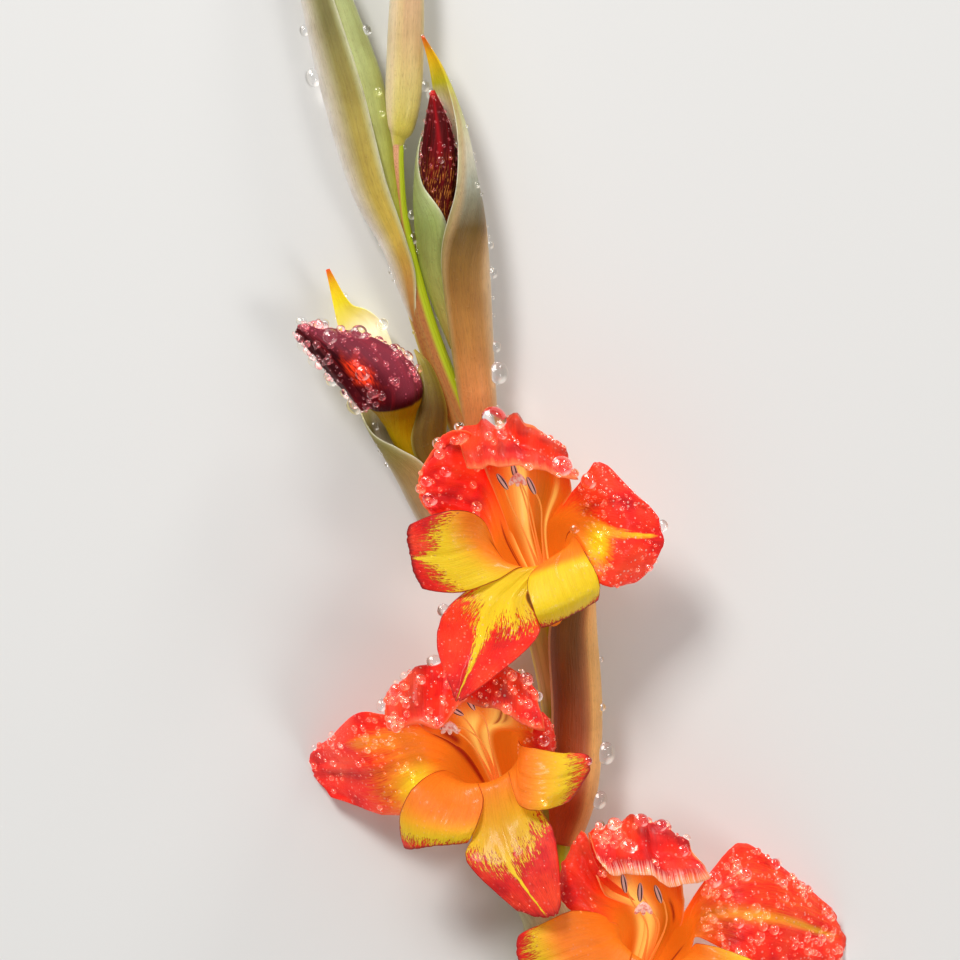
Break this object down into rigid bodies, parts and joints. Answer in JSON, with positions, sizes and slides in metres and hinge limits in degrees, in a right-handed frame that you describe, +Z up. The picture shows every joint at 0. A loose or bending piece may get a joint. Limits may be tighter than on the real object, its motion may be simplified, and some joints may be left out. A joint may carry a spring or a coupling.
{
  "type": "cut gladiolus",
  "caption": "Cut gladiolus spike lying on its back, with open scarlet and yellow blooms, crimson buds, green bracts and a bare lower stem.",
  "frame": {"origin": "centre of the spike's outline seen from above, on the surface that it lies on", "axes": "+Y along the spike from its cut end to its tip, +Z up, the way that the blooms face, +X to the right of the blooms seen from above"},
  "size_m": [0.1432, 0.4123, 0.0514],
  "materials": {
    "petal": "satin, wet",
    "stamen": "matte",
    "bud": "satin, wet",
    "bract": "matte",
    "stem": "satin",
    "water": "clear drops, in the visual model alone"
  },
  "bodies": {
    "root": {"stem": "stem", "bloom_a": "petal", "bloom_b": "petal", "bloom_c": "petal", "stamens_a": "stamen", "stamens_b": "stamen", "stamens_c": "stamen", "bud_nodding": "bud", "bud_upright": "bud", "bud_top": "bract", "bract_a": "bract", "bract_b": "bract", "bract_c": "bract", "bract_nodding_outer": "bract", "bract_nodding_inner": "bract", "bract_upright_outer": "bract", "bract_upright_inner": "bract", "spathe_left_outer": "bract", "spathe_left_inner": "bract", "spathe_top_outer": "bract"}
  },
  "joints": []
}
